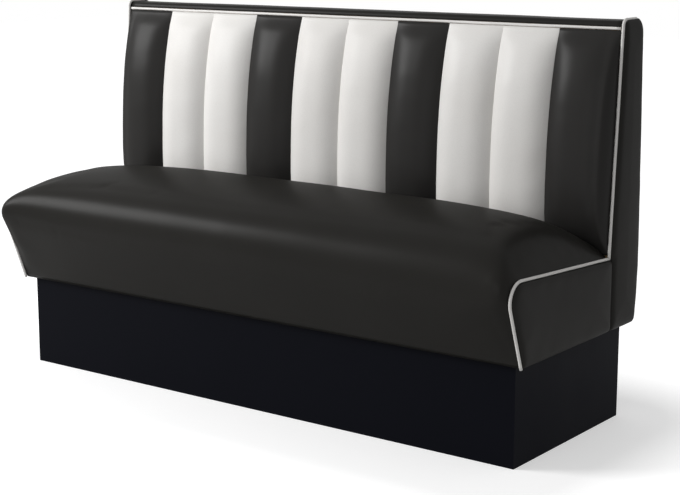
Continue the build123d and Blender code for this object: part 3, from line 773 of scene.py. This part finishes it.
def foam_point(x, y, z):
    """A point of the foam, between its flat foot and the section above it."""
    share = (2 * x - 1) * foam_high.x / body_half
    section = seat_section(share, piping_room + skin + clearance)
    outer = resampled([p for p in section if p.y > foam_low.z], y)
    foot = Vector((blend(0.0, foam_high.y - plinth_front, y), foam_low.z))
    depth, height = foot.lerp(outer, z)
    return Vector((share * body_half, min(depth + plinth_front, foam_high.y), height))


foam_form = block((60, 50, 4), foam_point)
print("foam block:", len(foam_form.faces), "faces")
foam_block = piece("cushion_foam", foam_form, foam, ["seat_foam"])

# %% [markdown]
# The ends of seat and back are closed by panels of vinyl over a thin pad. Stapled all round,
# they swell a little in the middle and their edges roll over to the piping. The CAD solid is
# remeshed finely and smoothed, and then domed outwards. Smoothing draws the outline in, so it
# is filled out again. The foot hangs a little lower than its board, and the top of the back's
# panels stands a little higher than the piping beside it.

# %% End panels
foot_hem, brim_lift, edge_fill = 0.0035, 0.0068, 0.0018
hem_reach, brim_reach = 0.012, 0.014


def copied(node_name):
    """The mesh of a CAD node with its doubled points merged."""
    form = bmesh.new()
    form.from_mesh(nodes[node_name].data)
    bmesh.ops.remove_doubles(form, verts=form.verts, dist=1e-5)
    return form


def end_panel(node_name, name, swell, softness):
    """A thin pad: the CAD solid remeshed, smoothed and domed outwards."""
    form = copied(node_name)
    mesh = bpy.data.meshes.new(name)
    form.to_mesh(mesh)
    form.free()
    rough = bpy.data.objects.new(name + "_rough", mesh)
    scene.collection.objects.link(rough)
    remesh = rough.modifiers.new("remesh", "REMESH")
    remesh.mode = "VOXEL"
    remesh.voxel_size = 0.0035
    evaluated = rough.evaluated_get(bpy.context.evaluated_depsgraph_get())
    form = bmesh.new()
    form.from_mesh(evaluated.to_mesh())
    bpy.data.objects.remove(rough)
    low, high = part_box(node_name)
    side = 1 if low.x > 0 else -1
    inner = low.x if side > 0 else high.x
    top_lift = brim_lift if node_name.startswith("back") else 0.0
    for _ in range(6):
        free = [v for v in form.verts if abs(v.co.x - inner) > 0.001]
        bmesh.ops.smooth_vert(form, verts=free, factor=0.5, use_axis_x=True, use_axis_y=True, use_axis_z=True)
    form.normal_update()
    for vert in form.verts:
        vert.co += Vector((0, vert.normal.y, vert.normal.z)) * edge_fill
        out = abs(vert.co.x - inner) / (high.x - low.x)
        edge = min(vert.co.y - low.y, high.y - vert.co.y, vert.co.z - low.z, high.z - vert.co.z)
        dome = 1 - exp(-max(0.0, edge) / softness)
        ripple = pulls(vert.co, max(0.0, edge), 0.0007) + slow_waves(vert.co, 0.0012)
        vert.co.x += side * out * (swell * dome + ripple)
        hem = exp(-max(0.0, vert.co.z - plinth_top) / hem_reach)
        vert.co.z -= hem * (foot_hem + 0.0008 * noise.noise(vert.co * 30))
        brim = exp(-max(0.0, high.z - vert.co.z) / brim_reach)
        vert.co.z += brim * top_lift * min(1.0, 1.6 * out)
    print(name, "has", len(form.faces), "faces")
    made = piece(name, form, black_vinyl, [node_name])
    return made


end_panel("seat_left_end_cover", "seat_left_end_pad", 0.009, 0.010)
end_panel("seat_right_end_cover", "seat_right_end_pad", 0.0045, 0.035)
end_panel("back_left_end_cover", "back_left_end_pad", 0.0045, 0.035)
end_panel("back_right_end_cover", "back_right_end_pad", 0.0045, 0.035)

# %% [markdown]
# The back has ten channels: tubes of foam, each sewn to its neighbours along a seam. The seam
# follows the padding, out at the small of the back and in at the head. These tables give, at
# even steps of height, how far the seams stand out from the boards' line and how full the
# channels are between them.

# %% Channel tables
channel_projection = 0.0295
channel_bulge = 0.022
projection_shares = (-0.08, 0.41, 0.73, 0.86, 0.93, 0.97, 1.0, 0.99, 0.94, 0.85, 0.71, 0.52, 0.28, -0.05)
bulge_shares = (0.2, 0.57, 0.86, 0.98, 1.0, 1.0, 1.0, 1.0, 1.0, 1.0, 0.97, 0.86, 0.64, 0.18)
channel_foot = seat_rear_height + 0.006
channel_top = top_piping_height - piping_radius - clearance
end_extra = 0.0075
channel_pitch = 2 * (body_half - end_extra) / 10


def between(table, along):
    """A smooth value between the entries of a table."""
    at = along * (len(table) - 1)
    i = min(int(at), len(table) - 2)
    t = at - i
    before, start = table[max(i - 1, 0)], table[i]
    end, after = table[i + 1], table[min(i + 2, len(table) - 1)]
    leave, arrive = (end - before) / 2, (after - start) / 2
    cubic = 2 * start - 2 * end + leave + arrive
    square = -3 * start + 3 * end - 2 * leave - arrive
    return ((cubic * t + square) * t + leave) * t + start


# %% [markdown]
# A channel is a block whose front swells between its seams: nearly flat in the middle, with
# steep flanks. At the ends of the bench the outer channel turns straight back over a round
# shoulder instead of meeting a neighbour.

# %% Channel form
shoulder_width = 0.020
frame_inset = piping_room + skin + clearance
outer_reach = piping_x - piping_radius - clearance - 4.5 * channel_pitch


def fullness(offset):
    """How full a channel is beside its middle: broad, with steep flanks at the seams."""
    share = min(1.0, abs(offset) * 2 / channel_pitch)
    return 1 - share**2.7


def channel_front(offset, along, outer):
    """Depth of a channel's front at an offset from its middle."""
    height = blend(channel_foot, channel_top, along)
    seam = back_face(height) - between(projection_shares, along) * channel_projection
    bulge = max(0.002, between(bulge_shares, along) * channel_bulge)
    turn_at = channel_pitch / 2 - shoulder_width
    if offset * outer <= turn_at:
        return seam - bulge * fullness(offset)
    start = seam - bulge * fullness(turn_at)
    end = back_face(height, piping_room)
    across = min(1.0, (offset * outer - turn_at) / (outer_reach - turn_at))
    return start + (end - start) * (1 - sqrt(max(0.0, 1 - across**2.6)))


def channel_form(number):
    """The padded tube of one channel, closed all round."""
    middle = (number - 5.5) * channel_pitch
    outer = {1: -1, 10: 1}.get(number, 0)
    low = -outer_reach if outer < 0 else (clearance - channel_pitch) / 2
    high = outer_reach if outer > 0 else (channel_pitch - clearance) / 2

    def place(x, y, z):
        offset = blend(low, high, 0.5 - cos(pi * x) / 2)
        height = blend(channel_foot, channel_top, z)
        board = back_face(height, frame_inset - clearance)
        front = channel_front(offset, z, outer)
        point = Vector((middle + offset, blend(front, board, y), height))
        sway = slow_waves(point, 0.0011) + pulls(point, min(offset - low, high - offset), 0.0012)
        point.y += sway * (1 - y) * sin(pi * min(1.0, max(0.0, x)))
        return point + Vector((0, plinth_front, 0))

    return block((30, 3, 84), place)


# The black channels take the paler copy of the black vinyl, painted lighter for the light they catch.
channel_colours = ["black", "white", "white"] * 3 + ["black"]
for number, colour in enumerate(channel_colours, start=1):
    channel = piece(
        f"channel_{number:02d}",
        channel_form(number),
        back_vinyl_painted_lit if colour == "black" else white_vinyl,
        [f"back_channel_{number:02d}"],
    )
print("channels:", channel_pitch, "apart")

# %% [markdown]
# Over the channels runs the top band: a plain strip of vinyl from the top piping, over the
# rounded top edge and down to a seam on the rear. Below that seam one wide sheet covers the
# rear. Both are thin cloth, stretched over timber.

# %% Top band
rear_lean = radians(2.6)
back_thickness = 0.088
top_radii = (0.014, 0.028)
rear_seam = back_top - top_radii[1] - 0.002
band_foot = top_piping_height + piping_radius + clearance


def back_rear(height, inset=0.0):
    """Depth of the back's rear at a height above its bend."""
    top = back_face(back_top) + back_thickness
    return top + (back_top - height) * tan(rear_lean) - inset / cos(rear_lean)


def top_section(start_height, end_height, front_inset, top_inset, rear_inset):
    """Points over the back's top, from a height on its front to a height on its rear."""
    top = back_top - top_inset
    start = Vector((back_face(start_height, front_inset), start_height))
    front = Vector((back_face(top, front_inset), top))
    rear = Vector((back_rear(top, rear_inset), top))
    end = Vector((back_rear(end_height, rear_inset), end_height))
    points = [start]
    points += fillet_points(start, front, rear, top_radii[0] - top_inset, 8)
    crest = fillet_points(front, rear, end, top_radii[1] - top_inset, 12)
    points += line_points(points[-1], crest[0], 8)[1:]
    return points + crest + [end]


band_section = top_section(band_foot, rear_seam, piping_room, piping_room, 0)


def band_point(across, along):
    """A point of the top band, across the bench and over its top."""
    depth, height = band_section[round(along * (len(band_section) - 1))]
    point = Vector(((2 * across - 1) * body_half, depth + plinth_front, height))
    point.z += slow_waves(point, 0.0010) * sin(pi * along)
    return point


def outward(form, inside):
    """Turn a strip's faces away from a point inside the bench."""
    form.normal_update()
    if sum((f.calc_center_median() - inside).dot(f.normal) for f in form.faces) < 0:
        bmesh.ops.reverse_faces(form, faces=form.faces)
    return form


back_core = Vector((0, plinth_front + 0.44, 0.7))
band_form = outward(strip(90, len(band_section) - 1, band_point), back_core)
top_band = thicken(piece("top_band", band_form, black_vinyl, ["back_top_band"]), skin, -1)
band_width = sum((b - a).length for a, b in zip(band_section, band_section[1:]))
print("top band:", round(band_width, 4), "wide")

# %% Rear cover
rear_low, rear_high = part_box("back_rear_cover")
bend_height = 0.455
rear_foot = Vector((0.497, plinth_top))
bend = Vector((back_rear(bend_height), bend_height))
rear_section = line_points(Vector((back_rear(rear_high.z), rear_high.z)), bend, 30)
rear_section += arc_points(bend, rear_foot, -pi / 2 + rear_lean, 20) + [rear_foot]
rear_section = [p for p in rear_section if p.y > rear_low.z] + [rear_section[-1].lerp(rear_section[-2], 0.25)]


def rear_point(across, along):
    """A point of the rear cover, across the bench and down its rear."""
    depth, height = rear_section[round(along * (len(rear_section) - 1))]
    height = max(height, rear_low.z)
    point = Vector(((2 * across - 1) * body_half, depth + plinth_front, height))
    point.y -= max(0.0, slow_waves(point, 0.0012)) * sin(pi * across) * sin(pi * along)
    return point


rear_form = outward(strip(60, len(rear_section) - 1, rear_point), back_core)
rear_sheet = piece("rear_cover", rear_form, black_vinyl, ["back_rear_cover"])
rear_cover = thicken(rear_sheet, 0.0018, -1)
rear_length = sum((b - a).length for a, b in zip(rear_section, rear_section[1:]))
print("rear cover:", round(rear_length, 4), "high")


# %% [markdown]
# Piping is a cord wrapped in vinyl and sewn into a seam. It stands proud as a smooth bead. Each
# run is a curve with a round section, made a mesh at once. Its path wavers by a fraction of a
# millimetre, because it is sewn by hand. The waver is random, so it has a seed and comes out
# the same in every run.

# %% Piping
noise.seed_set(5)
waver_size, wavers_a_metre = 0.0004, 11


def piping(name, route, node_name):
    """A bead along a route of points, which replaces the CAD piping."""
    curve = bpy.data.curves.new(name, "CURVE")
    curve.dimensions = "3D"
    curve.bevel_depth = bead_radius
    curve.bevel_resolution = 5
    curve.use_fill_caps = True
    bead = curve.splines.new("POLY")
    bead.points.add(len(route) - 1)
    for place, point in zip(bead.points, route):
        waver = noise.noise_vector(point * wavers_a_metre) * waver_size
        place.co = (*(point + waver), 1)
    helper = bpy.data.objects.new(name + "_line", curve)
    scene.collection.objects.link(helper)
    bpy.context.view_layer.update()
    evaluated = helper.evaluated_get(bpy.context.evaluated_depsgraph_get())
    form = bmesh.new()
    form.from_mesh(bpy.data.meshes.new_from_object(evaluated))
    bpy.data.objects.remove(helper)
    bmesh.ops.remove_doubles(form, verts=form.verts, dist=1e-6)
    bmesh.ops.recalc_face_normals(form, faces=form.faces)
    return piece(name, form, piping_vinyl, [node_name])


def at_side(x, section):
    """A route in a plane across the bench, from points of depth and height."""
    return [Vector((x, p.x + plinth_front, p.y)) for p in section]


def even_run(start, end, step=0.012):
    """Points along a line at even steps, without its end."""
    count = max(1, round((end - start).length / step))
    return line_points(start, end, count)


toe = Vector((-seat_toe, plinth_top))
seat_foot = toe + (toe - corner_end).normalized() * 0.001
seat_tail = Vector((back_line - piping_radius - clearance, seat_rear_height))
nose = fillet_points(seat_foot, corner_end, seat_tail, nose_end_radius, 12)
seat_route = even_run(seat_foot, nose[0]) + nose + even_run(nose[-1], seat_tail)[1:] + [seat_tail]

back_start_height = seat_rear_height - piping_room + clearance
back_foot_point = Vector((back_face(back_start_height), back_start_height))
back_corner = Vector((back_face(back_top), back_top))
back_tail = Vector((back_rear(back_top) - top_radii[1], back_top))
brow = fillet_points(back_foot_point, back_corner, back_tail, top_radii[0], 8)
back_route = even_run(back_foot_point, brow[0]) + brow + even_run(brow[-1], back_tail)[1:] + [back_tail]

for side_name, side in (("left", -1), ("right", 1)):
    piping(f"seat_{side_name}_bead", at_side(side * piping_x, seat_route), f"seat_{side_name}_piping")
    piping(f"back_{side_name}_bead", at_side(side * piping_x, back_route), f"back_{side_name}_piping")

top_low, top_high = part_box("back_top_piping")
top_middle = (top_low + top_high) / 2
top_ends = [Vector((x, top_middle.y, top_middle.z)) for x in (top_low.x, top_high.x)]
piping("top_bead", even_run(*top_ends) + [top_ends[1]], "back_top_piping")
print("piping: 5 runs, beads of", 2 * bead_radius, "across")

# %% Finish
print("CAD box", [[round(c, 4) for c in v] for v in cad_box])
